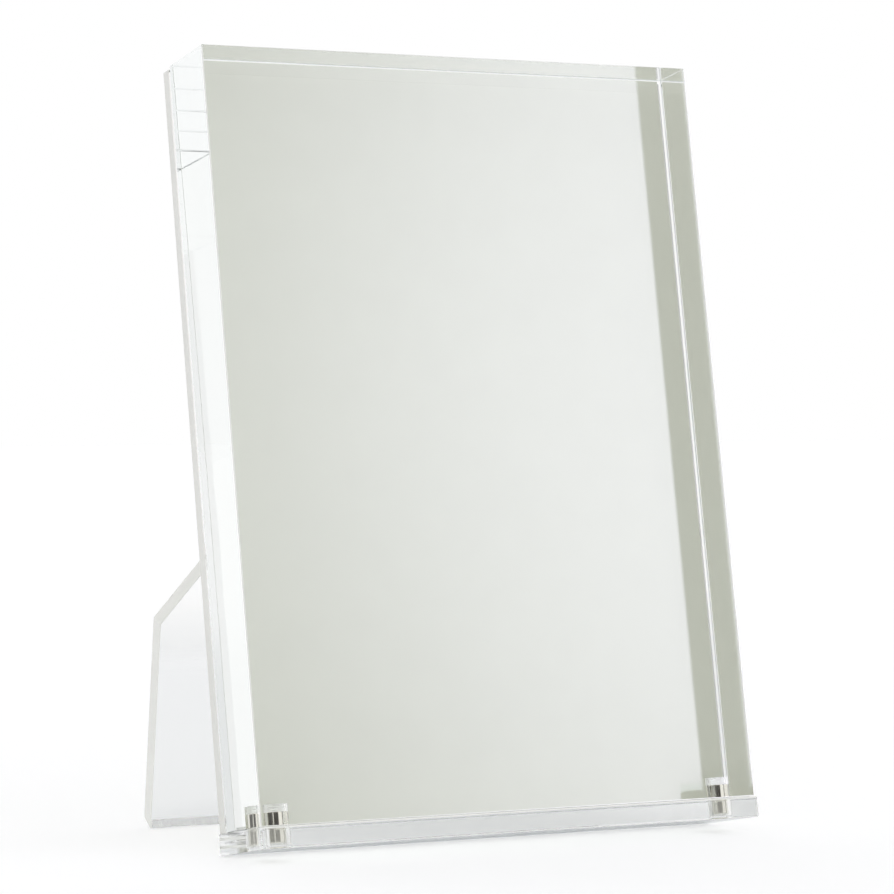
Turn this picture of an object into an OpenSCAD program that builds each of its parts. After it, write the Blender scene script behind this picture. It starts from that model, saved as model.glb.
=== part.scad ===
/* [Front block] */
// Width of the clear block
block_w = 128.6; // [110:0.2:180]
// Height of the clear block
block_h = 178; // [130:0.5:300]
// Thickness of the clear block, front to back
block_d = 19; // [14:0.5:30]
// Polished arris on every edge of the block
block_arris = 0.2; // [0.1:0.05:1]

/* [Back panel] */
// How much less tall than the block the panel is
panel_top_drop = 0.5; // [0:0.1:6]
// Thickness of the panel
panel_t = 3.2; // [2:0.1:5]
// Polished arris on every edge of the panel
panel_arris = 0.3; // [0.1:0.05:0.6]
// Room for the card between the block and the panel
card_room = 0.8; // [0.6:0.1:2]

/* [Base bar] */
// Thickness of the bar under the block and the panel
bar_h = 4.9; // [4.5:0.1:10]
// How far the bar shows in front of the block
bar_front_ledge = 0.7; // [0.2:0.1:4]
// How far the bar shows behind the panel
bar_rear_ledge = 0.1; // [0:0.1:2]
// How far the bar shows past each side of the block
bar_side_ledge = 0.2; // [0:0.1:2]
// Polished arris on the edges of the bar
bar_arris = 0.4; // [0.2:0.1:0.8]
// Width of the strip of the bar that rests on the table
bar_foot_flat = 1; // [0.4:0.1:1.6]

/* [Photo card] */
// How far each side of the card stops short of the side of the block
card_side_margin = 0.8; // [0:0.1:6]
// How much less tall than the block the card is
card_top_margin = 0.2; // [0:0.1:10]
// Thickness of the card
card_t = 0.3; // [0.2:0.05:0.4]

/* [Magnets] */
// Diameter of each magnet
magnet_d = 6; // [3:0.5:8]
// Height of each magnet
magnet_h = 3.5; // [2:0.1:3.9]
// Distance from the side of the block to a magnet's axis
magnet_inset = 6.5; // [5:0.1:20]
// Depth left empty above each magnet in the block
block_hole_spare = 1.6; // [0.2:0.1:6]
// Depth left empty under each magnet in the bar
bar_hole_spare = 0.5; // [0.1:0.1:0.9]

/* [Easel leg] */
// Thickness of the leg's sheet
leg_t = 4.5; // [3:0.1:5]
// Distance on the table from the bar's rear edge to the leg
foot_reach = 53.3; // [40:0.1:64]
// How far each side of the foot steps in from the side of the frame
foot_taper = 5.1; // [0:0.1:10]
// Height of the shoulders, measured along the leg
shoulder_h = 53.4; // [35:0.2:60]
// Slope of the shoulders, up from level
shoulder_slope = 55.8; // [45:0.2:65]
// How far below the bend the leg reaches its narrowest
neck_drop = 5.5; // [2:0.5:12]
// Length of the flange that is cemented to the panel
flange_h = 16; // [8:1:30]
// Inside radius of the bend between the leg and the flange
bend_r = 2; // [1:0.5:4]
// Width of the strip of the foot that rests on the table
foot_flat = 0.8; // [0.4:0.1:1.2]
// Height above the table of the foot's rear edge
foot_rise = 2.4; // [1.6:0.1:3]

/* [Stance] */
// How far the frame leans back from upright
lean = 10.46; // [6:0.02:14]
// How far the leg leans forward from upright
leg_lean = 20; // [16:0.5:24]

/* [Fits] */
// Air film between the block and the bar it sits on
seat_gap = 0.1; // [0.05:0.01:0.3]
// Thickness of a cemented joint
cement_film = 0.05; // [0.02:0.01:0.1]
// Air film between the card and what it touches
card_film = 0.1; // [0.05:0.01:0.2]
// Radial room around a magnet in its hole
magnet_room = 0.05; // [0.02:0.01:0.1]

/* [Hidden] */

// Segments in a full round
$fn = 96;
// Overrun of every cut past the face it opens
overrun = 1;

// Places along the depth, from the front of the block at zero
panel_front = block_d + card_room;
panel_back = panel_front + panel_t;
bar_front = -bar_front_ledge;
bar_back = panel_back + bar_rear_ledge;
bar_d = bar_back - bar_front;
bar_w = block_w + 2 * bar_side_ledge;
magnet_y = block_d / 2;

// Places up the frame, from the underside of the bar at zero
block_bottom = bar_h + seat_gap;
panel_bottom = bar_h + cement_film;
card_bottom = bar_h + card_film;
panel_h = block_h - panel_top_drop;

// Photo card
card_w = block_w - 2 * card_side_margin;
card_h = block_h - card_top_margin;

// Magnets
hole_d = magnet_d + 2 * magnet_room;
magnet_x = block_w / 2 - magnet_inset;
block_hole_depth = magnet_h + block_hole_spare;
bar_hole_depth = magnet_h + bar_hole_spare;

// The bar's rear lower edge is cut flat on the table
bar_sink = bar_foot_flat * sin(lean) * cos(lean);

// The leg in side view, from the bar's rear lower edge, as [back, up]
leg_length = (foot_reach * cos(lean) + bar_rear_ledge - bar_sink * sin(lean)) / sin(lean + leg_lean);
leg_up = [-sin(leg_lean), cos(leg_lean)];
leg_rear = [cos(leg_lean), sin(leg_lean)];
panel_up = [sin(lean), cos(lean)];
panel_rear = [cos(lean), -sin(lean)];
foot_front = [foot_reach, 0];
film_shift = cement_film / sin(lean + leg_lean);
bend_front = foot_front + (leg_length - film_shift) * leg_up;
bend_outer_r = bend_r + leg_t;
bend_share = 1 + cos(lean + leg_lean);
bend_centre = bend_front + bend_outer_r / bend_share * (leg_rear + panel_rear);
flange_high = bend_front + flange_h * panel_up;
foot_rear = foot_front + [leg_t / cos(leg_lean) - foot_rise * tan(leg_lean), foot_rise];

// The leg seen square to its face, as heights along it and half widths
neck_h = leg_length - neck_drop;
foot_x = block_w / 2 - foot_taper;
shoulder_x = block_w / 2;
neck_x = shoulder_x - (neck_h - shoulder_h) / tan(shoulder_slope);

// The origin is under the middle of the whole frame's footprint
front_reach = bar_d * cos(lean) - bar_arris * sin(lean);
rear_edge_y = (front_reach - foot_rear[0]) / 2;

// Box with an arris along all twelve edges, centred in width, from zero back and up
module arris_box(width, depth, height, arris) {
    intersection() {
        translate([0, depth / 2, 0])
            linear_extrude(height) arris_rectangle(width, depth, arris);
        translate([0, 0, height / 2])
            rotate([-90, 0, 0]) linear_extrude(depth) arris_rectangle(width, height, arris);
        translate([-width / 2, depth / 2, height / 2])
            rotate([0, 90, 0]) linear_extrude(width) arris_rectangle(height, depth, arris);
    }
}

// Centred rectangle with its corners cut at 45 degrees
module arris_rectangle(width, height, arris) {
    x = width / 2;
    y = height / 2;
    polygon([[arris - x, -y], [x - arris, -y], [x, arris - y], [x, y - arris],
        [x - arris, y], [arris - x, y], [-x, y - arris], [-x, arris - y]]);
}

// Places what is drawn in the frame's own upright axes on the table, leaning back
module leaned() {
    translate([0, rear_edge_y, -bar_sink])
        rotate([-lean, 0, 0])
            translate([0, -bar_back, 0])
                children();
}

// One magnet or hole on a side of the frame, from a height up the frame
module magnet_cylinder(side, low, height, diameter) {
    translate([side * magnet_x, magnet_y, low])
        cylinder(d = diameter, h = height);
}

// The thick clear block in front of the card
module front_block() {
    color("lightcyan")
        leaned()
            difference() {
                translate([0, 0, block_bottom])
                    arris_box(block_w, block_d, block_h, block_arris);
                for (side = [-1, 1])
                    magnet_cylinder(side, block_bottom - overrun,
                        block_hole_depth + overrun, hole_d);
            }
}

// The clear sheet behind the card
module back_panel() {
    color("powderblue")
        leaned()
            translate([0, panel_front, panel_bottom])
                arris_box(block_w, panel_t, panel_h, panel_arris);
}

// The clear bar that carries the block and the panel
module base_bar() {
    color("lightsteelblue")
        difference() {
            leaned()
                difference() {
                    translate([0, bar_front, 0])
                        base_bar_blank();
                    for (side = [-1, 1])
                        magnet_cylinder(side, bar_h - bar_hole_depth,
                            bar_hole_depth + overrun, hole_d);
                }
            translate([-bar_w, rear_edge_y - bar_d, -bar_h])
                cube([2 * bar_w, 2 * bar_d, bar_h]);
        }
}

// The bar before its holes are cut; its rear lower edge has no arris
module base_bar_blank() {
    intersection() {
        translate([0, bar_d / 2, 0])
            linear_extrude(bar_h) arris_rectangle(bar_w, bar_d, bar_arris);
        translate([-bar_w / 2, 0, 0])
            rotate([90, 0, 90])
                linear_extrude(bar_w)
                    polygon([[bar_arris, 0], [bar_d, 0], [bar_d, bar_h - bar_arris],
                        [bar_d - bar_arris, bar_h], [bar_arris, bar_h],
                        [0, bar_h - bar_arris], [0, bar_arris]]);
    }
}

// The leg's section in side view: foot, leg and flange, with both corners of the bend rounded
module leg_profile() {
    cut_r = bend_outer_r + overrun;
    difference() {
        polygon([foot_front, foot_front + [foot_flat, 0], foot_rear,
            bend_centre - bend_r * leg_rear, bend_centre, bend_centre - bend_r * panel_rear,
            flange_high + leg_t * panel_rear, flange_high, bend_front]);
        translate(bend_centre) circle(r = bend_r);
        difference() {
            polygon([bend_centre, bend_centre - cut_r * leg_rear,
                bend_centre - cut_r / bend_share * (leg_rear + panel_rear),
                bend_centre - cut_r * panel_rear]);
            translate(bend_centre) circle(r = bend_outer_r);
        }
    }
}

// The leg's outline seen square to its face, from the foot up
module leg_outline() {
    low_x = foot_x - foot_taper * overrun / shoulder_h;
    top = leg_length + flange_h + overrun;
    polygon([[-low_x, -overrun], [low_x, -overrun], [shoulder_x, shoulder_h],
        [neck_x, neck_h], [neck_x, top], [-neck_x, top], [-neck_x, neck_h],
        [-shoulder_x, shoulder_h]]);
}

// The bent clear leg behind the panel
module easel_leg() {
    color("paleturquoise")
        translate([0, rear_edge_y, 0])
            intersection() {
                rotate([90, 0, 90])
                    linear_extrude(block_w + 2 * overrun, center = true) leg_profile();
                translate([0, foot_reach, 0])
                    rotate([90 + leg_lean, 0, 0])
                        linear_extrude(2 * foot_reach, center = true) leg_outline();
            }
}

// The printed card, bare
module photo_card() {
    color("whitesmoke")
        leaned()
            translate([-card_w / 2, panel_front - card_film - card_t, card_bottom])
                cube([card_w, card_t, card_h]);
}

// A magnet flush with the underside of the block
module block_magnet(side) {
    color("silver")
        leaned() magnet_cylinder(side, block_bottom, magnet_h, magnet_d);
}

// A magnet flush with the top of the bar
module bar_magnet(side) {
    color("darkgray")
        leaned() magnet_cylinder(side, bar_h - magnet_h, magnet_h, magnet_d);
}

front_block();
back_panel();
base_bar();
easel_leg();
photo_card();
block_magnet(-1);  // block_magnet_left
block_magnet(1);  // block_magnet_right
bar_magnet(-1);  // bar_magnet_left
bar_magnet(1);  // bar_magnet_right
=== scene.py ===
"""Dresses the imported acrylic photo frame: polished acrylic, plated magnets and a bare card."""

import math
from collections import namedtuple

import bpy
import numpy as np
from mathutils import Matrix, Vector


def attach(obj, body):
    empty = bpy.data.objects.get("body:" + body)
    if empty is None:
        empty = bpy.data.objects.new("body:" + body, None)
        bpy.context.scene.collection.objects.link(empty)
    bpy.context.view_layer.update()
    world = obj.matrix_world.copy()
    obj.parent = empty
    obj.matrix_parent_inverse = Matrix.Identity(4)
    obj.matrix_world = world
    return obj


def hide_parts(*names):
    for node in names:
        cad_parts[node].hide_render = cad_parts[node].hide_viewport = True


bl_info = {
    "name": "Acrylic Photo Frame",
    "version": (1, 0, 0),
    "blender": (4, 5, 0),
    "location": "3D View > Sidebar > Photo Frame",
    "description": "Builds the clear pieces, the magnets and the card of an acrylic photo frame",
    "category": "Add Mesh",
}

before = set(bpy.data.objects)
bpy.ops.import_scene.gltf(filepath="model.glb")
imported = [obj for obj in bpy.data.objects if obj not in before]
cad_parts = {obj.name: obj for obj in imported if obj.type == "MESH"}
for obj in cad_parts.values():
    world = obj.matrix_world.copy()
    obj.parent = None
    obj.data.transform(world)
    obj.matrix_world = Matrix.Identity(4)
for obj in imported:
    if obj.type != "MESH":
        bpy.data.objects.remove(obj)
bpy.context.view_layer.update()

# One millimetre, in metres
MM = 0.001

# Steps of a rounded arris, of a rounded corner and of a full round
ARRIS_STEPS = 4
CORNER_STEPS = 4
ROUND_STEPS = 96
# Rows of the leg's straight part, of its bend and of its flange, and the height of its first row
STRAIGHT_ROWS = 24
BEND_ROWS = 12
FLANGE_ROWS = 3
FIRST_ROW = 1 * MM
# Faces that meet at less than this angle are shaded as one curve
SMOOTH_ANGLE = math.radians(8)
# Rounding of an edge that looks sharp
SHARP = 0.05 * MM
# How far a cutter runs out of the piece that it cuts
CUT_OVERRUN = 5 * MM
# Shares of an axis in a face's direction: from STRAIGHT on the face looks straight along it, from
# EDGEWAYS on it belongs to a sheet's edge, up to LEVEL it doesn't rise, and from LEANING on it
# leans that way
STRAIGHT = 0.9
EDGEWAYS = 0.3
LEVEL = 0.1
LEANING = 0.03


def length(name, description, default_mm):
    """A length property, written in millimetres and held in metres."""
    return bpy.props.FloatProperty(
        name=name, description=description, default=default_mm * MM, unit="LENGTH", precision=5
    )


def angle(name, description, degrees):
    """An angle property, written in degrees and held in radians."""
    return bpy.props.FloatProperty(
        name=name, description=description, default=math.radians(degrees), unit="ROTATION"
    )


def colour(name, description, hex_code):
    """A colour property, written as an sRGB hex value and held as linear light."""
    return bpy.props.FloatVectorProperty(
        name=name,
        description=description,
        default=linear(hex_code),
        size=3,
        subtype="COLOR",
        min=0,
        max=1,
    )


def linear(hex_code):
    """Linear red, green and blue of an sRGB hex value."""
    parts = [int(hex_code[i : i + 2], 16) / 255 for i in (0, 2, 4)]
    return tuple(p / 12.92 if p <= 0.04045 else ((p + 0.055) / 1.055) ** 2.4 for p in parts)


class FrameSizes(bpy.types.PropertyGroup):
    """Sizes of the frame, the same as the solids have, but for two that only the scene has: the
    rounding of the magnets' edges and the glue's bite."""

    block_w: length("Block width", "Width of the block, the panel and the shoulders", 128.6)
    block_h: length("Block height", "Height of the thick block", 178)
    block_d: length("Block depth", "Thickness of the thick block", 19)
    block_arris: length("Block arris", "Rounding of the block's edges", 0.2)
    panel_h: length("Panel height", "Height of the back panel", 177.5)
    panel_t: length("Panel thickness", "Thickness of the back panel", 3.2)
    panel_arris: length("Sheet arris", "Rounding of the panel's and the leg's edges", 0.3)
    card_room: length("Card room", "Room between the block and the panel", 0.8)
    card_w: length("Card width", "Width of the card", 127)
    card_h: length("Card height", "Height of the card", 177.8)
    card_t: length("Card thickness", "Thickness of the card", 0.3)
    card_film: length("Card clearance", "Air between the card and what it touches", 0.1)
    bar_h: length("Bar height", "Thickness of the base bar", 4.9)
    bar_front_ledge: length("Front ledge", "How far the bar shows in front of the block", 0.7)
    bar_rear_ledge: length("Rear ledge", "How far the bar shows behind the panel", 0.1)
    bar_side_ledge: length("Side ledge", "How far the bar shows past the block's sides", 0.2)
    bar_arris: length("Bar arris", "Rounding of the bar's edges", 0.4)
    bar_foot_flat: length("Bar foot", "Width of the bar's strip on the table", 1)
    seat_gap: length("Seat gap", "Air between the block and the bar", 0.1)
    cement_film: length("Cement film", "Thickness of a cemented joint", 0.05)
    magnet_d: length("Magnet diameter", "Diameter of each magnet", 6)
    magnet_h: length("Magnet height", "Height of each magnet", 3.5)
    magnet_inset: length("Magnet inset", "From the block's side to a magnet's axis", 6.5)
    magnet_edge: length("Magnet edge", "Rounding of a magnet's plated edges", 0.25)
    magnet_room: length("Magnet room", "Air round a magnet in the bar's holes", 0.05)
    glue_bite: length("Glue bite", "How far a magnet sits into its glued hole's wall", 0.01)
    block_hole: length("Block hole depth", "Depth of the holes in the block", 5.1)
    bar_hole: length("Bar hole depth", "Depth of the holes in the bar", 4)
    leg_t: length("Leg thickness", "Thickness of the easel leg", 4.5)
    foot_reach: length("Foot reach", "From the bar's rear edge to the leg's foot", 53.3)
    foot_taper: length("Foot taper", "How far each side of the foot steps in", 5.1)
    foot_flat: length("Foot flat", "Width of the leg's strip on the table", 0.8)
    foot_rise: length("Foot rise", "Height of the foot's rear edge", 2.4)
    shoulder_h: length("Shoulder height", "Height of the shoulders along the leg", 53.4)
    neck_drop: length("Neck drop", "From the bend down to the leg's narrowest", 5.5)
    flange_h: length("Flange length", "Length of the cemented flange", 16)
    bend_r: length("Bend radius", "Inside radius of the leg's bend", 2)
    shoulder_slope: angle("Shoulder slope", "Slope of the shoulders from level", 55.8)
    lean: angle("Lean", "How far the frame leans back", 10.46)
    leg_lean: angle("Leg lean", "How far the leg leans forward", 20)


class FrameFinishes(bpy.types.PropertyGroup):
    """Colours of the frame and of the floor."""

    acrylic: colour("Acrylic", "What the thick cast acrylic lets through", "F4FAF6")
    sheet: colour("Sheet acrylic", "What the thinner sheet lets through", "F3F8F8")
    card: colour("Card", "Colour of the card stock", "D1D4CA")
    plating: colour("Nickel plate", "Colour of the plating on the magnets", "EAE8DE")
    floor: colour("Floor", "Colour of the studio floor", "F6F6F6")


def sizes():
    """The frame's sizes."""
    return bpy.context.scene.photo_frame_sizes


def finishes():
    """The frame's finishes."""
    return bpy.context.scene.photo_frame_finishes


def bar_back(s):
    """Depth of the bar's rear face behind the block's front face."""
    return s.block_d + s.card_room + s.panel_t + s.bar_rear_ledge


def foot_points(s):
    """The foot's front edge and its rear edge, as back and up from the bar's rear edge."""
    front = np.array([s.foot_reach, 0.0])
    through = s.leg_t / math.cos(s.leg_lean) - s.foot_rise * math.tan(s.leg_lean)
    return front, front + [through, s.foot_rise]


def bar_sink(s):
    """How far the bar's whole outline would reach below its strip on the table."""
    return s.bar_foot_flat * math.sin(s.lean) * math.cos(s.lean)


def rear_edge(s):
    """Y of the bar's rear lower edge: the footprint's middle is at zero."""
    depth = bar_back(s) + s.bar_front_ledge
    reach = depth * math.cos(s.lean) - s.bar_arris * math.sin(s.lean)
    return (reach - foot_points(s)[1][0]) / 2


def leaned(points):
    """Turns points given as across, back from the block's face and up the frame into the scene.
    They turn about the bar's rear lower edge by the lean, which then sits on the table."""
    s = sizes()
    x, back, up = np.moveaxis(np.asarray(points, float), -1, 0)
    back = back - bar_back(s)
    y = rear_edge(s) + back * math.cos(s.lean) + up * math.sin(s.lean)
    z = up * math.cos(s.lean) - back * math.sin(s.lean) - bar_sink(s)
    return np.stack([x, y, z], -1)


def rounded_outline(corners, radii):
    """Centres, outward directions and signed radii of a closed outline with rounded corners.
    A point of the outline is its centre plus the signed radius along the direction; a smaller
    signed radius gives the same outline moved inwards. Corners run anticlockwise."""
    corners = np.asarray(corners, float)
    radii = np.broadcast_to(np.asarray(radii, float), len(corners))
    along = np.roll(corners, -1, 0) - corners
    along /= np.linalg.norm(along, axis=1, keepdims=True)
    normal = np.stack([along[:, 1], -along[:, 0]], 1)
    before = np.roll(normal, 1, 0)
    turn = np.arctan2(
        before[:, 0] * normal[:, 1] - before[:, 1] * normal[:, 0], (before * normal).sum(1)
    )
    side = np.sign(turn)
    share = radii / (1 + (before * normal).sum(1))
    centre = corners - (side * share)[:, None] * (before + normal)
    start = np.arctan2(before[:, 1], before[:, 0])
    steps = np.linspace(0, 1, CORNER_STEPS + 1)
    theta = start[:, None] + turn[:, None] * steps
    outward = np.stack([np.cos(theta), np.sin(theta)], -1).reshape(-1, 2)
    centre = np.repeat(centre, CORNER_STEPS + 1, 0)
    signed = np.repeat(side * radii, CORNER_STEPS + 1)
    return centre, outward, signed


def slab_rings(outline, depth, arris):
    """Rings of a slab whose outline is carried straight through its depth. Near each face the
    outline moves in along a quarter circle, which rounds the arris. A ring's points are the
    outline's two measures, then the depth."""
    centre, outward, signed = outline
    quarter = np.linspace(0, math.pi / 2, ARRIS_STEPS + 1)
    inset = arris * (1 - np.sin(quarter))
    back = arris * (1 - np.cos(quarter))
    inset = np.concatenate([inset, inset[::-1]])
    back = np.concatenate([back, depth - back[::-1]])
    flat = centre[None] + (signed[None] - inset[:, None])[..., None] * outward[None]
    return np.concatenate([flat, np.broadcast_to(back[:, None, None], flat.shape[:2] + (1,))], -1)


def upright_slab(name, half, low, height, back, depth, arris):
    """A slab that stands along the frame, half to each side. Its rings run from its rear face to
    its front face, so that its faces look outwards."""
    corners = [(-half, low), (half, low), (half, low + height), (-half, low + height)]
    rings = slab_rings(rounded_outline(corners, arris), depth, arris)[::-1]
    rings[..., 2] += back
    return tube_mesh(name, leaned(rings[..., [0, 2, 1]]))


def ring_faces(rings, around):
    """Quads between successive rings of a closed tube, as rows of point numbers."""
    r, a = np.meshgrid(np.arange(rings - 1), np.arange(around), indexing="ij")
    b = (a + 1) % around
    low, high = r * around, (r + 1) * around
    return np.stack([low + a, low + b, high + b, high + a], -1)


def tube_mesh(name, rings):
    """A closed mesh from rings of points: quads between the rings and one flat face on each end,
    which come last."""
    count, around = rings.shape[:2]
    quads = ring_faces(count, around).reshape(-1, 4).tolist()
    first = list(range(around))[::-1]
    last = list(range((count - 1) * around, count * around))
    mesh = bpy.data.meshes.new(name)
    mesh.from_pydata(rings.reshape(-1, 3).tolist(), [], quads + [first, last])
    mesh.validate()
    finish_shading(mesh)
    return mesh


def finish_shading(mesh):
    """Smooth shading with sharp edges wherever the surface turns by more than the smooth angle."""
    mesh.polygons.foreach_set("use_smooth", [True] * len(mesh.polygons))
    mesh.set_sharp_from_angle(angle=SMOOTH_ANGLE)
    mesh.update()


def revolved_rings(profile, centre_x, centre_back):
    """Rings of a turned shape: each radius and height of the profile goes once round an axis that
    runs up the frame. The rings are across, back, up."""
    radius, up = np.asarray(profile, float).T
    theta = np.linspace(0, 2 * math.pi, ROUND_STEPS, endpoint=False)
    x = centre_x + radius[:, None] * np.cos(theta)
    back = centre_back + radius[:, None] * np.sin(theta)
    return np.stack([x, back, np.broadcast_to(up[:, None], x.shape)], -1)


def as_object(mesh, materials):
    """An object at the origin with the given materials."""
    obj = bpy.data.objects.new(mesh.name, mesh)
    bpy.context.scene.collection.objects.link(obj)
    for material in materials:
        mesh.materials.append(material)
    return obj


def mark_faces(mesh, test, index):
    """Gives a material's index to the faces that pass a test of their directions, which are given
    along the frame's own axes: across, back and up."""
    normals = np.empty(len(mesh.polygons) * 3)
    mesh.polygons.foreach_get("normal", normals)
    marks = np.empty(len(mesh.polygons), int)
    mesh.polygons.foreach_get("material_index", marks)
    axes = leaned(np.eye(3)) - leaned([0, 0, 0])
    passed = test(*(normals.reshape(-1, 3) @ axes.T).T)
    mesh.polygons.foreach_set("material_index", np.where(passed, index, marks))


def cut(obj, cutters):
    """Takes the cutters out of an object's mesh, exactly, and deletes them."""
    for cutter in cutters:
        step = obj.modifiers.new("hole", "BOOLEAN")
        step.operation = "DIFFERENCE"
        step.solver = "EXACT"
        step.material_mode = "TRANSFER"
        step.object = cutter
        bpy.context.view_layer.update()
        graph = bpy.context.evaluated_depsgraph_get()
        mesh = bpy.data.meshes.new_from_object(obj.evaluated_get(graph))
        obj.modifiers.clear()
        old, obj.data = obj.data, mesh
        name = old.name
        bpy.data.meshes.remove(old)
        mesh.name = name
        used = cutter.data
        bpy.data.objects.remove(cutter)
        bpy.data.meshes.remove(used)
    finish_shading(obj.data)


def cut_magnet_holes(obj, low, high, radius, material):
    """Drills a round hole at each magnet's place. The material goes on the holes' walls."""
    s = sizes()
    cutters = []
    for x in magnet_places(s):
        rings = revolved_rings([(radius, low), (radius, high)], x, s.block_d / 2)
        cutters.append(as_object(tube_mesh("cutter", leaned(rings)), [material]))
    cut(obj, cutters)


def magnet_places(s):
    """How far the left and the right magnets' axes are across."""
    x = s.block_w / 2 - s.magnet_inset
    return -x, x


def place(obj, body, node):
    """Makes a piece stand for its node and ride on its body."""
    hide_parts(node)
    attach(obj, body)
    return obj


# Acrylic bends light by this index. Its tint works this strongly per metre of way through it
ACRYLIC_IOR = 1.49
SOAK_PER_M = 2
# Waves that diamond polishing leaves, in millimetres
POLISH_PITCH = (14, 14, 14)
POLISH_DEPTH = 0.004
# How a tool leaves the acrylic: the pitch of its lines across, back and up, the share of the face
# that stays clear, its least and most roughness, and the lines' depth. Pitch and depth are in
# millimetres
Tooled = namedtuple("Tooled", "pitch clear_share smoothest roughest depth")
# Scraped arrises look like pale lines
ARRIS_SCRAPED = Tooled((0.5, 0.5, 0.5), 0.25, 0.08, 0.2, 0.0005)
# Sawn sheet edges look pale, with lines across the sheet
PANEL_SIDE_SAWN = Tooled((3, 3, 0.4), 0.25, 0.08, 0.2, 0.0005)
PANEL_END_SAWN = Tooled((0.4, 3, 3), 0.25, 0.08, 0.2, 0.0005)
LEG_SIDE_SAWN = Tooled((0.5, 3, 0.5), 0.25, 0.08, 0.2, 0.0005)
# The leg's ends are sanded, and blur what is seen through them
LEG_END_SANDED = Tooled((0.5, 3, 3), 0.95, 0.4, 1.0, 0.0005)
# Drilled holes show a milky rim round each magnet, more so in the block
BLOCK_HOLE_DRILLED = Tooled((3, 3, 0.25), 0.6, 0.21, 0.48, 0.009)
BAR_HOLE_DRILLED = Tooled((3, 3, 0.25), 0.75, 0.07, 0.16, 0.003)
# Card stock: how matt it is, its paper grain, and the clouds that vary its tone
CARD_ROUGHNESS = 0.85
PAPER_PITCH = (0.25, 0.25, 0.25)
PAPER_DEPTH = 0.01
CLOUD_PITCH = (9, 9, 9)
CLOUD_SHADES = (0.985, 1.0)
# Nickel plate: fine lines rubbed up the magnet, and how hazy its mirror is
PLATE_PITCH = (0.3, 0.3, 4)
PLATE_DEPTH = 0.001
PLATE_ROUGHNESS = (0.04, 0.12)
# Most of the noise lies between these values
NOISE_LOW, NOISE_HIGH = 0.3, 0.7


def add_node(tree, kind, settings=None, inputs=None):
    """Adds a shader node, sets its properties, and sets or links its inputs."""
    node = tree.nodes.new(kind)
    for key, value in (settings or {}).items():
        setattr(node, key, value)
    for key, value in (inputs or {}).items():
        socket = node.inputs[key]
        if isinstance(value, bpy.types.NodeSocket):
            tree.links.new(value, socket)
        else:
            socket.default_value = value
    return node


def new_material(name):
    """An empty node material and its Principled shader."""
    material = bpy.data.materials.new(name)
    material.use_nodes = True
    tree = material.node_tree
    shader = tree.nodes["Principled BSDF"]
    return material, tree, shader


def rgba(value):
    """A colour with full alpha."""
    return (*value, 1.0)


def object_noise(tree, pitch_mm, detail):
    """Noise in the piece's own place, with a grain of so many millimetres across, back and up."""
    place_at = add_node(tree, "ShaderNodeTexCoord")
    grain = add_node(
        tree, "ShaderNodeVectorMath", {"operation": "MULTIPLY"},
        {0: place_at.outputs["Object"], 1: [1 / (p * MM) for p in pitch_mm]},
    )
    noise = add_node(
        tree, "ShaderNodeTexNoise", None,
        {"Vector": grain.outputs[0], "Scale": 1.0, "Detail": detail},
    )
    return noise.outputs["Fac"]


def bump(tree, shader, height, depth_mm):
    """Bumps a shader by a height of 0 to 1 that stands for depth_mm."""
    relief = add_node(
        tree, "ShaderNodeBump", None,
        {"Height": height, "Strength": 1.0, "Distance": depth_mm * MM},
    )
    tree.links.new(relief.outputs["Normal"], shader.inputs["Normal"])


def spread(tree, value, low, high):
    """Spreads noise over low to high."""
    node = add_node(
        tree, "ShaderNodeMapRange", None,
        {
            "Value": value,
            "From Min": NOISE_LOW,
            "From Max": NOISE_HIGH,
            "To Min": low,
            "To Max": high,
        },
    )
    return node.outputs["Result"]


def acrylic(name, tint, clear_share=1.0):
    """Smooth acrylic. It bends light and takes a little colour from light along its way. What
    isn't clear on a face is white and scatters light."""
    material, tree, shader = new_material(name)
    shader.inputs["Base Color"].default_value = (1, 1, 1, 1)
    shader.inputs["Transmission Weight"].default_value = clear_share
    shader.inputs["IOR"].default_value = ACRYLIC_IOR
    shader.inputs["Roughness"].default_value = 0
    soak = add_node(
        tree, "ShaderNodeVolumeAbsorption", None, {"Color": rgba(tint), "Density": SOAK_PER_M}
    )
    tree.links.new(soak.outputs[0], tree.nodes["Material Output"].inputs["Volume"])
    return material, tree, shader


def polished_acrylic(name, tint):
    """Cast acrylic, diamond polished. Its faces wave by a few thousandths of a millimetre, so the
    lines seen in it by mirroring run a little unevenly."""
    material, tree, shader = acrylic(name, tint)
    bump(tree, shader, object_noise(tree, POLISH_PITCH, 1), POLISH_DEPTH)
    return material


def tooled_acrylic(name, tint, tooled):
    """Acrylic as a tool leaves it: part clear and part frosted, with the tool's faint lines, so it
    looks paler and softer than a polished face."""
    material, tree, shader = acrylic(name, tint, tooled.clear_share)
    lines = object_noise(tree, tooled.pitch, 2)
    roughness = spread(tree, lines, tooled.smoothest, tooled.roughest)
    tree.links.new(roughness, shader.inputs["Roughness"])
    bump(tree, shader, lines, tooled.depth)
    return material


def lit_through(material):
    """Lets a lamp's light pass a clear face, so the card behind the block is lit by the key and
    takes the magnets' shadows."""
    tree = material.node_tree
    path = add_node(tree, "ShaderNodeLightPath")
    clear = add_node(tree, "ShaderNodeBsdfTransparent")
    mix = add_node(
        tree, "ShaderNodeMixShader", None,
        {
            0: path.outputs["Is Shadow Ray"],
            1: tree.nodes["Principled BSDF"].outputs[0],
            2: clear.outputs[0],
        },
    )
    tree.links.new(mix.outputs[0], tree.nodes["Material Output"].inputs["Surface"])
    return material


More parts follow.
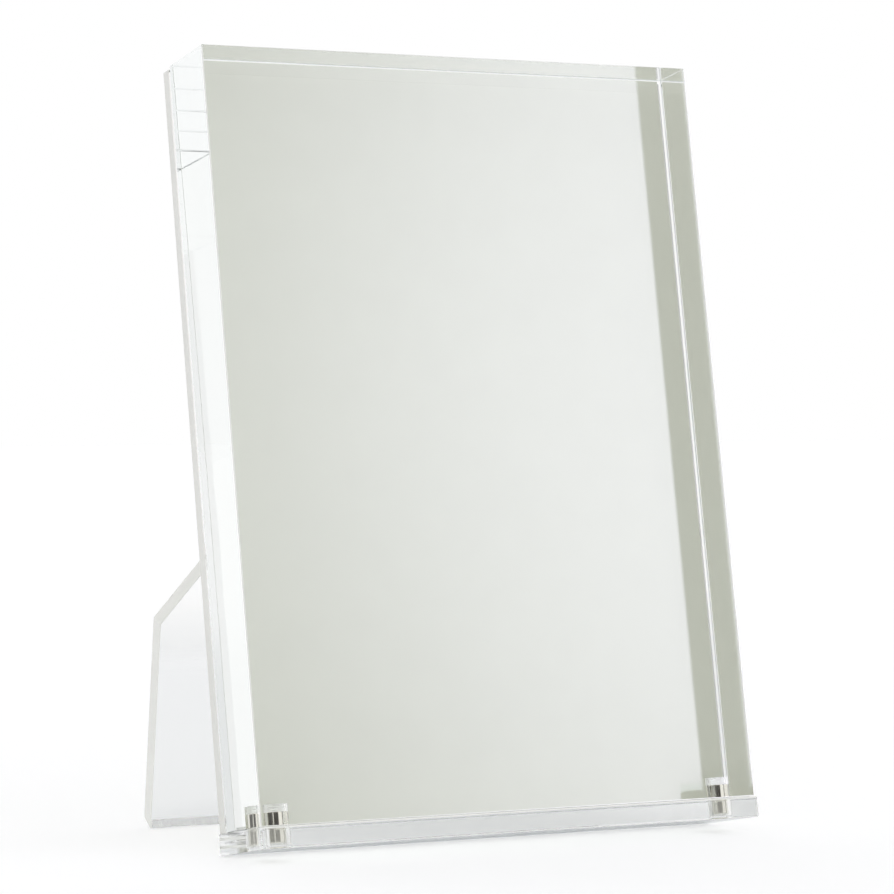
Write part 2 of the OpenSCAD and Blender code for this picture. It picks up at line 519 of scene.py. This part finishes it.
def card_stock(name, tint):
    """Uncoated card with a plain pale tone: matt, with a paper grain and faintly cloudy."""
    material, tree, shader = new_material(name)
    shader.inputs["Roughness"].default_value = CARD_ROUGHNESS
    bump(tree, shader, object_noise(tree, PAPER_PITCH, 3), PAPER_DEPTH)
    shade = spread(tree, object_noise(tree, CLOUD_PITCH, 2), *CLOUD_SHADES)
    tone = add_node(
        tree, "ShaderNodeVectorMath", {"operation": "SCALE"}, {0: tint, "Scale": shade}
    )
    tree.links.new(tone.outputs[0], shader.inputs["Base Color"])
    return material


def nickel_plate(name, tint):
    """Bright nickel over a sintered magnet: a mirror with a faint haze and fine rubbed lines."""
    material, tree, shader = new_material(name)
    shader.inputs["Base Color"].default_value = rgba(tint)
    shader.inputs["Metallic"].default_value = 1
    lines = object_noise(tree, PLATE_PITCH, 3)
    tree.links.new(spread(tree, lines, *PLATE_ROUGHNESS), shader.inputs["Roughness"])
    bump(tree, shader, lines, PLATE_DEPTH)
    return material


class PHOTOFRAME_OT_block(bpy.types.Operator):
    """Build the thick clear block with its two blind holes"""

    bl_idname = "photo_frame.block"
    bl_label = "Front Block"

    def execute(self, context):
        s, tint = sizes(), finishes().acrylic
        low = s.bar_h + s.seat_gap
        mesh = upright_slab(
            "front_block_polished", s.block_w / 2, low, s.block_h, 0, s.block_d, s.block_arris
        )
        materials = [
            polished_acrylic("cast_acrylic_edge_polished", tint),
            lit_through(polished_acrylic("cast_acrylic_face_polished", tint)),
            tooled_acrylic("cast_acrylic_arris_scraped", tint, ARRIS_SCRAPED),
        ]
        obj = as_object(mesh, materials)
        # The front and rear faces, then the front arrises at the sides and below
        mark_faces(mesh, lambda across, back, up: abs(back) > STRAIGHT, 1)
        mark_faces(mesh, front_arrises, 2)
        hole = tooled_acrylic("cast_acrylic_drilled", tint, BLOCK_HOLE_DRILLED)
        radius = s.magnet_d / 2 - s.glue_bite
        cut_magnet_holes(obj, low - CUT_OVERRUN, low + s.block_hole, radius, lit_through(hole))
        place(obj, "block", "front_block")
        return {"FINISHED"}


def front_arrises(across, back, up):
    """Whether faces belong to the block's front arrises, but for the top one."""
    sideways = np.maximum(abs(across), abs(up))
    return (back < -LEANING) & (sideways > LEANING) & (up < LEVEL)


class PHOTOFRAME_OT_panel(bpy.types.Operator):
    """Build the thin clear panel behind the card"""

    bl_idname = "photo_frame.panel"
    bl_label = "Back Panel"

    def execute(self, context):
        s, tint = sizes(), finishes().sheet
        low = s.bar_h + s.cement_film
        back = s.block_d + s.card_room
        mesh = upright_slab(
            "back_panel_polished", s.block_w / 2, low, s.panel_h, back, s.panel_t, s.panel_arris
        )
        materials = [
            polished_acrylic("sheet_acrylic_polished", tint),
            tooled_acrylic("sheet_acrylic_cut_sides", tint, PANEL_SIDE_SAWN),
            tooled_acrylic("sheet_acrylic_cut_ends", tint, PANEL_END_SAWN),
        ]
        obj = as_object(mesh, materials)
        mark_faces(mesh, lambda across, back, up: abs(across) > EDGEWAYS, 1)
        mark_faces(mesh, lambda across, back, up: abs(up) > EDGEWAYS, 2)
        place(obj, "stand", "back_panel")
        return {"FINISHED"}


class PHOTOFRAME_OT_bar(bpy.types.Operator):
    """Build the clear bar under the block and the panel"""

    bl_idname = "photo_frame.bar"
    bl_label = "Base Bar"

    def execute(self, context):
        s, tint = sizes(), finishes().sheet
        front, back = -s.bar_front_ledge, bar_back(s)
        corners = [
            (front, 0),
            (back - s.bar_foot_flat * math.cos(s.lean), 0),
            (back, s.bar_foot_flat * math.sin(s.lean)),
            (back, s.bar_h),
            (front, s.bar_h),
        ]
        radii = [s.bar_arris, SHARP, SHARP, s.bar_arris, s.bar_arris]
        width = s.block_w + 2 * s.bar_side_ledge
        rings = slab_rings(rounded_outline(corners, radii), width, SHARP)
        rings[..., 2] -= width / 2
        mesh = tube_mesh("base_bar_polished", leaned(rings[..., [2, 0, 1]]))
        materials = [
            polished_acrylic("bar_acrylic_polished", tint),
            tooled_acrylic("bar_acrylic_arris_scraped", tint, ARRIS_SCRAPED),
        ]
        obj = as_object(mesh, materials)
        # The upper front arris
        mark_faces(mesh, lambda across, back, up: (back < -LEANING) & (up > LEANING), 1)
        hole = tooled_acrylic("bar_acrylic_drilled", tint, BAR_HOLE_DRILLED)
        radius = s.magnet_d / 2 + s.magnet_room
        cut_magnet_holes(obj, s.bar_h - s.bar_hole, s.bar_h + CUT_OVERRUN, radius, hole)
        place(obj, "stand", "base_bar")
        return {"FINISHED"}


class PHOTOFRAME_OT_leg(bpy.types.Operator):
    """Build the bent clear leg behind the panel"""

    bl_idname = "photo_frame.leg"
    bl_label = "Easel Leg"

    def execute(self, context):
        tint = finishes().sheet
        mesh = leg_mesh("easel_leg_polished")
        materials = [
            polished_acrylic("leg_acrylic_polished", tint),
            tooled_acrylic("leg_acrylic_cut_sides", tint, LEG_SIDE_SAWN),
            tooled_acrylic("leg_acrylic_cut_ends", tint, LEG_END_SANDED),
        ]
        obj = as_object(mesh, materials)
        mark_faces(mesh, lambda across, back, up: abs(across) > EDGEWAYS, 1)
        for end in mesh.polygons[-2:]:
            end.material_index = 2
        place(obj, "stand", "easel_leg")
        return {"FINISHED"}


def way(turned):
    """The way, as back and up, that is turned so far from straight back towards up."""
    return np.stack([np.cos(turned), np.sin(turned)], -1)


def sheet_section(half, thickness, arris):
    """Points of a sheet's section, half to each side, with its arrises rounded, as across and
    through the sheet."""
    corners = [(-half, 0), (half, 0), (half, thickness), (-half, thickness)]
    centre, outward, signed = rounded_outline(corners, arris)
    return centre + signed[:, None] * outward


def leg_mesh(name):
    """The leg as sections carried along the bent sheet, each as wide as the leg's outline is
    there. They run from the foot up the straight part, round the bend's arc and up the flange.
    Each has its front point and its way through the sheet, as back and up."""
    s = sizes()
    up, rear = way(s.leg_lean + math.pi / 2), way(s.leg_lean)
    panel_up, panel_rear = way(math.pi / 2 - s.lean), way(-s.lean)
    foot, foot_rear = foot_points(s)
    turn = s.lean + s.leg_lean

    # Where the leg's front face would meet the panel's, and the middle of the bend
    reach = s.foot_reach * math.cos(s.lean) + s.bar_rear_ledge
    whole = (reach - bar_sink(s) * math.sin(s.lean)) / math.sin(turn)
    corner = foot + (whole - s.cement_film / math.sin(turn)) * up
    outer = s.bend_r + s.leg_t
    centre = corner + outer / (1 + math.cos(turn)) * (rear + panel_rear)
    straight = (centre - outer * rear - foot) @ up
    flange = s.flange_h - outer * math.tan(turn / 2)

    # The outline: half widths at the foot, at the shoulders and at the neck
    neck = whole - s.neck_drop
    half = s.block_w / 2
    neck_half = half - (neck - s.shoulder_h) / math.tan(s.shoulder_slope)
    heights = [0, s.shoulder_h, neck]
    halves = [half - s.foot_taper, half, neck_half]

    lowest = (foot_rear - foot) @ up
    rows = np.linspace(lowest + FIRST_ROW, straight, STRAIGHT_ROWS)
    rows = np.concatenate([[0], np.unique([*rows, s.shoulder_h, neck])])
    bend_ways = way(s.leg_lean - np.linspace(0, turn, BEND_ROWS + 1)[1:])
    flange_rows = np.linspace(0, flange, FLANGE_ROWS + 1)[1:]
    fronts = np.concatenate(
        [
            foot + rows[:, None] * up,
            centre - outer * bend_ways,
            centre - outer * panel_rear + flange_rows[:, None] * panel_up,
        ]
    )
    throughs = np.concatenate(
        [np.tile(rear, (len(rows), 1)), bend_ways, np.tile(panel_rear, (FLANGE_ROWS, 1))]
    )
    row_halves = np.full(len(fronts), neck_half)
    row_halves[: len(rows)] = np.interp(rows, heights, halves)
    sections = np.array([sheet_section(h, s.leg_t, s.panel_arris) for h in row_halves])
    flat = fronts[:, None] + sections[..., 1:] * throughs[:, None]

    # The foot's end stands on a level strip and rises behind it
    ground = [0, s.foot_flat * math.cos(s.leg_lean), s.leg_t]
    rises = [0, -s.foot_flat * math.sin(s.leg_lean), lowest]
    flat[0] += np.interp(sections[0, :, 1], ground, rises)[:, None] * up
    rings = np.concatenate([sections[..., :1], flat], -1)
    rings[..., 1] += rear_edge(s)
    return tube_mesh(name, rings)


class PHOTOFRAME_OT_card(bpy.types.Operator):
    """Build the bare card between the block and the panel"""

    bl_idname = "photo_frame.card"
    bl_label = "Photo Card"

    def execute(self, context):
        s = sizes()
        low = s.bar_h + s.card_film
        front = s.block_d + s.card_room - s.card_film - s.card_t
        mesh = upright_slab(
            "photo_card_stock", s.card_w / 2, low, s.card_h, front, s.card_t, SHARP
        )
        obj = as_object(mesh, [card_stock("card_stock_matt", finishes().card)])
        place(obj, "card", "photo_card")
        return {"FINISHED"}


class PHOTOFRAME_OT_magnets(bpy.types.Operator):
    """Build the two magnets in the block and the two in the bar"""

    bl_idname = "photo_frame.magnets"
    bl_label = "Magnets"

    def execute(self, context):
        s = sizes()
        plating = nickel_plate("nickel_plate_bright", finishes().plating)
        carriers = (
            ("block", "block", s.bar_h + s.seat_gap),
            ("bar", "stand", s.bar_h - s.magnet_h),
        )
        for carrier, body, low in carriers:
            for side, x in zip(("left", "right"), magnet_places(s)):
                node = f"{carrier}_magnet_{side}"
                rings = revolved_rings(magnet_profile(low), x, s.block_d / 2)
                obj = as_object(tube_mesh(node + "_plated", leaned(rings)), [plating])
                place(obj, body, node)
        return {"FINISHED"}


def magnet_profile(low):
    """Radius and height round a magnet: flat ends joined to the wall by quarter circles."""
    s = sizes()
    quarter = np.linspace(0, math.pi / 2, ARRIS_STEPS + 1)
    radius = s.magnet_d / 2 - s.magnet_edge * (1 - np.sin(quarter))
    up = s.magnet_edge * (1 - np.cos(quarter))
    radius = np.concatenate([radius, radius[::-1]])
    up = low + np.concatenate([up, s.magnet_h - up[::-1]])
    return np.stack([radius, up], 1)


# The camera: its place in metres, how far it looks to the right of straight back and down from
# level, its lens and film width in millimetres, and how near and how far it sees in metres
CAMERA_PLACE = (-0.38163, -0.73369, 0.10399)
CAMERA_YAW = math.radians(27.614)
CAMERA_PITCH = math.radians(0.855)
LENS_MM = 139.71
FILM_MM = 36
CAMERA_SEES = (0.01, 50)
# Light crosses the block by mirroring to and fro many times
LIGHT_BOUNCES = 32
# Light of the room on matt pieces, slightly warm, and how much more of it comes from the right
# and from behind
ROOM_LIGHT = (0.92, 0.92, 0.875)
ROOM_SLANT = (0.12, 0.2, 0)
# The floor: half its width, and how far it lies below the frame, so that no faces share a plane
FLOOR_HALF = 6.0
FLOOR_DROP = 0.2 * MM
# Share of the floor's white that comes from the room's light
FLOOR_LIT = 0.8
# The floor as glass and mirrors show it, with painted shade that greys it near the frame in place
# of the shadow under it: metres from the frame's middle, and colour
FLOOR_IN_GLASS_PAINTED_SHADE = (
    (0.03, "E2E3E4"),
    (0.1, "F0F1F1"),
    (0.6, "F1F2F2"),
    (1.0, "FAFAFA"),
)
# The room's walls as mirrors and glass show them: degrees to the right of the front, and colour
ROOM_WALLS = (
    (-179, "DFE2E7"),
    (-165, "F2F3F5"),
    (-110, "F4F4F4"),
    (-96, "9A988E"),
    (-90, "2A261C"),
    (-66, "1E1B12"),
    (6, "2A261C"),
    (15, "FFFFFF"),
    (156, "FFFFFF"),
    (161, "E6E9EE"),
    (179, "DFE2E7"),
)
# Height of the walls' upper edge, as the upward part of the way to it: from, to
WALL_TOP = (0.32, 0.44)
# The key: its turn to the right of the frame's front, its distance, its height along the frame,
# how far right of the block its middle falls, its lamp's radius, the width of its cone, its
# colour and its watts. Lengths are in metres
KEY_TURN = math.radians(18.7)
KEY_DISTANCE = 1.0
KEY_UP = 0.11
KEY_AIM = 0.081
KEY_RADIUS = 0.028
KEY_SPREAD = math.radians(28.1)
KEY_COLOUR = "E6E1FF"
KEY_POWER = 29


class PHOTOFRAME_OT_studio(bpy.types.Operator):
    """Set the floor, the lamp, the surroundings and the camera"""

    bl_idname = "photo_frame.studio"
    bl_label = "Studio"

    def execute(self, context):
        scene = context.scene
        scene.view_settings.view_transform = "Standard"
        for kind in ("max_bounces", "diffuse_bounces", "glossy_bounces", "transmission_bounces"):
            setattr(scene.cycles, kind, LIGHT_BOUNCES)
        scene.cycles.blur_glossy = 0
        photo_camera(scene)
        studio_world(scene)
        floor_piece(scene)
        key_lamp(scene)
        return {"FINISHED"}


def photo_camera(scene):
    """The camera at the photograph's place and angle."""
    camera = bpy.data.cameras.new("camera")
    camera.lens = LENS_MM
    camera.sensor_width = FILM_MM
    camera.sensor_fit = "HORIZONTAL"
    camera.clip_start, camera.clip_end = CAMERA_SEES
    holder = bpy.data.objects.new("camera", camera)
    scene.collection.objects.link(holder)
    holder.location = CAMERA_PLACE
    level = math.cos(CAMERA_PITCH)
    ahead = Vector(
        (math.sin(CAMERA_YAW) * level, math.cos(CAMERA_YAW) * level, -math.sin(CAMERA_PITCH))
    )
    holder.rotation_euler = ahead.to_track_quat("-Z", "Y").to_euler()
    scene.camera = holder


def ray_kinds(tree):
    """Flags for a ray from the camera, and for one that has met a matt face."""
    path = add_node(tree, "ShaderNodeLightPath")
    matt = add_node(
        tree, "ShaderNodeMath", {"operation": "GREATER_THAN"},
        {0: path.outputs["Diffuse Depth"], 1: 0.5},
    )
    return path.outputs["Is Camera Ray"], matt.outputs[0]


def chosen(tree, flag, no, yes):
    """One colour where a flag is 0 and another where it is 1."""
    mix = add_node(tree, "ShaderNodeMix", {"data_type": "RGBA"}, {"Factor": flag})
    for value, socket in ((no, mix.inputs["A"]), (yes, mix.inputs["B"])):
        if isinstance(value, bpy.types.NodeSocket):
            tree.links.new(value, socket)
        else:
            socket.default_value = rgba(value)
    return mix.outputs["Result"]


def ramp(tree, value, stops):
    """A run of colours over a value of 0 to 1, from its places and hex colours."""
    node = add_node(tree, "ShaderNodeValToRGB", None, {0: value})
    elements = node.color_ramp.elements
    for place_at, hex_code in stops:
        elements.new(place_at).color = rgba(linear(hex_code))
    elements.remove(elements[0])
    elements.remove(elements[-1])
    return node.outputs["Color"]


def studio_world(scene):
    """The room. The camera sees it white, and matt pieces are lit by its nearly even light.
    Mirrors and glass show its walls: dark round the camera and to its left, white at the right,
    and pale behind, under a white ceiling."""
    world = bpy.data.worlds.new("studio")
    scene.world = world
    world.use_nodes = True
    tree = world.node_tree
    tree.nodes.clear()
    way_out = add_node(tree, "ShaderNodeTexCoord").outputs["Generated"]
    axes = add_node(tree, "ShaderNodeSeparateXYZ", None, {0: way_out})
    front = add_node(
        tree, "ShaderNodeMath", {"operation": "MULTIPLY"}, {0: axes.outputs["Y"], 1: -1}
    )
    turn = add_node(
        tree, "ShaderNodeMath", {"operation": "ARCTAN2"},
        {0: axes.outputs["X"], 1: front.outputs[0]},
    )
    round_share = add_node(
        tree, "ShaderNodeMapRange", None,
        {"Value": turn.outputs[0], "From Min": -math.pi, "From Max": math.pi},
    )
    stops = [((degrees + 180) / 360, hex_code) for degrees, hex_code in ROOM_WALLS]
    walls = ramp(tree, round_share.outputs["Result"], stops)
    ceiling = add_node(
        tree, "ShaderNodeMapRange", {"interpolation_type": "SMOOTHSTEP"},
        {"Value": axes.outputs["Z"], "From Min": WALL_TOP[0], "From Max": WALL_TOP[1]},
    )
    room = chosen(tree, ceiling.outputs["Result"], walls, (1, 1, 1))
    slant = add_node(
        tree, "ShaderNodeVectorMath", {"operation": "DOT_PRODUCT"}, {0: way_out, 1: ROOM_SLANT}
    )
    level = add_node(
        tree, "ShaderNodeMath", {"operation": "ADD"}, {0: slant.outputs["Value"], 1: 1.0}
    )
    even = add_node(
        tree, "ShaderNodeVectorMath", {"operation": "SCALE"},
        {0: ROOM_LIGHT, "Scale": level.outputs[0]},
    )
    camera, matt = ray_kinds(tree)
    light = chosen(tree, matt, chosen(tree, camera, room, (1, 1, 1)), even.outputs[0])
    ground = add_node(tree, "ShaderNodeBackground", None, {"Color": light, "Strength": 1.0})
    add_node(tree, "ShaderNodeOutputWorld", None, {"Surface": ground.outputs[0]})


def floor_piece(scene):
    """A wide flat floor of matt paper, white where the camera sees it. Part of its white is a glow,
    so the shadow on it stays soft and pale. Glass and mirrors show it with painted shade, a little
    greyer near the frame, in place of the shadow under it."""
    corners = [
        (x * FLOOR_HALF, y * FLOOR_HALF, -FLOOR_DROP)
        for x, y in ((-1, -1), (1, -1), (1, 1), (-1, 1))
    ]
    mesh = bpy.data.meshes.new("floor")
    mesh.from_pydata(corners, [], [(0, 1, 2, 3)])
    material, tree, shader = new_material("floor_paper")
    camera, matt = ray_kinds(tree)
    place_at = add_node(tree, "ShaderNodeTexCoord")
    away = add_node(
        tree, "ShaderNodeVectorMath", {"operation": "LENGTH"}, {0: place_at.outputs["Object"]}
    )
    lit = tuple(FLOOR_LIT * part for part in ROOM_LIGHT)
    # The glow that glass and mirrors show carries painted shade: greyer near the frame, in place of
    # the shadow under it
    mirrored_glow_and_shade = add_node(
        tree, "ShaderNodeVectorMath", {"operation": "SUBTRACT"},
        {0: ramp(tree, away.outputs["Value"], FLOOR_IN_GLASS_PAINTED_SHADE), 1: lit},
    )
    seen_glow = tuple(1 - part for part in lit)
    glow = chosen(tree, camera, mirrored_glow_and_shade.outputs[0], seen_glow)
    paper = chosen(tree, matt, (FLOOR_LIT,) * 3, finishes().floor)
    tree.links.new(paper, shader.inputs["Base Color"])
    tree.links.new(chosen(tree, matt, glow, (0, 0, 0)), shader.inputs["Emission Color"])
    shader.inputs["Emission Strength"].default_value = 1
    shader.inputs["Roughness"].default_value = 1
    shader.inputs["Specular IOR Level"].default_value = 0
    mesh.materials.append(material)
    obj = bpy.data.objects.new("floor", mesh)
    scene.collection.objects.link(obj)
    return obj


def key_lamp(scene):
    """A soft spot at the right front. It lights the card through the block, most at its right."""
    lamp = bpy.data.lights.new("key_spot", "SPOT")
    lamp.shadow_soft_size = KEY_RADIUS
    lamp.spot_size, lamp.spot_blend = KEY_SPREAD, 1
    lamp.color = linear(KEY_COLOUR)
    lamp.energy = KEY_POWER
    holder = bpy.data.objects.new("key_spot", lamp)
    scene.collection.objects.link(holder)
    edge = sizes().block_w / 2
    right, ahead = KEY_DISTANCE * math.sin(KEY_TURN), KEY_DISTANCE * math.cos(KEY_TURN)
    ends = leaned([(edge + KEY_AIM, 0, KEY_UP), (edge + right, -ahead, KEY_UP)])
    aim, place_at = (Vector(end) for end in ends)
    holder.location = place_at
    holder.rotation_euler = (aim - place_at).to_track_quat("-Z", "Y").to_euler()
    holder.visible_glossy = holder.visible_transmission = False
    lit = bpy.data.collections.new("lit_by_key")
    for name in ("photo_card_stock", "front_block_polished"):
        lit.objects.link(bpy.data.objects[name])
    holder.light_linking.receiver_collection = lit


class PHOTOFRAME_PT_panel(bpy.types.Panel):
    """Lists the pieces, the sizes and the finishes of the frame"""

    bl_idname = "PHOTOFRAME_PT_panel"
    bl_label = "Photo Frame"
    bl_space_type = "VIEW_3D"
    bl_region_type = "UI"
    bl_category = "Photo Frame"

    def draw(self, context):
        layout = self.layout
        for operator in OPERATORS:
            layout.operator(operator.bl_idname)
        for group in (sizes(), finishes()):
            for key in group.__annotations__:
                layout.prop(group, key)


OPERATORS = (
    PHOTOFRAME_OT_block,
    PHOTOFRAME_OT_panel,
    PHOTOFRAME_OT_bar,
    PHOTOFRAME_OT_leg,
    PHOTOFRAME_OT_card,
    PHOTOFRAME_OT_magnets,
    PHOTOFRAME_OT_studio,
)
CLASSES = (FrameSizes, FrameFinishes, *OPERATORS, PHOTOFRAME_PT_panel)


def register():
    """Adds the classes and the settings to Blender."""
    for cls in CLASSES:
        bpy.utils.register_class(cls)
    bpy.types.Scene.photo_frame_sizes = bpy.props.PointerProperty(type=FrameSizes)
    bpy.types.Scene.photo_frame_finishes = bpy.props.PointerProperty(type=FrameFinishes)


def unregister():
    """Takes the settings and the classes out of Blender."""
    del bpy.types.Scene.photo_frame_finishes
    del bpy.types.Scene.photo_frame_sizes
    for cls in reversed(CLASSES):
        bpy.utils.unregister_class(cls)


def main():
    register()
    bpy.ops.photo_frame.block()
    bpy.ops.photo_frame.panel()
    bpy.ops.photo_frame.bar()
    bpy.ops.photo_frame.leg()
    bpy.ops.photo_frame.card()
    bpy.ops.photo_frame.magnets()
    bpy.ops.photo_frame.studio()


if __name__ == "__main__":
    main()
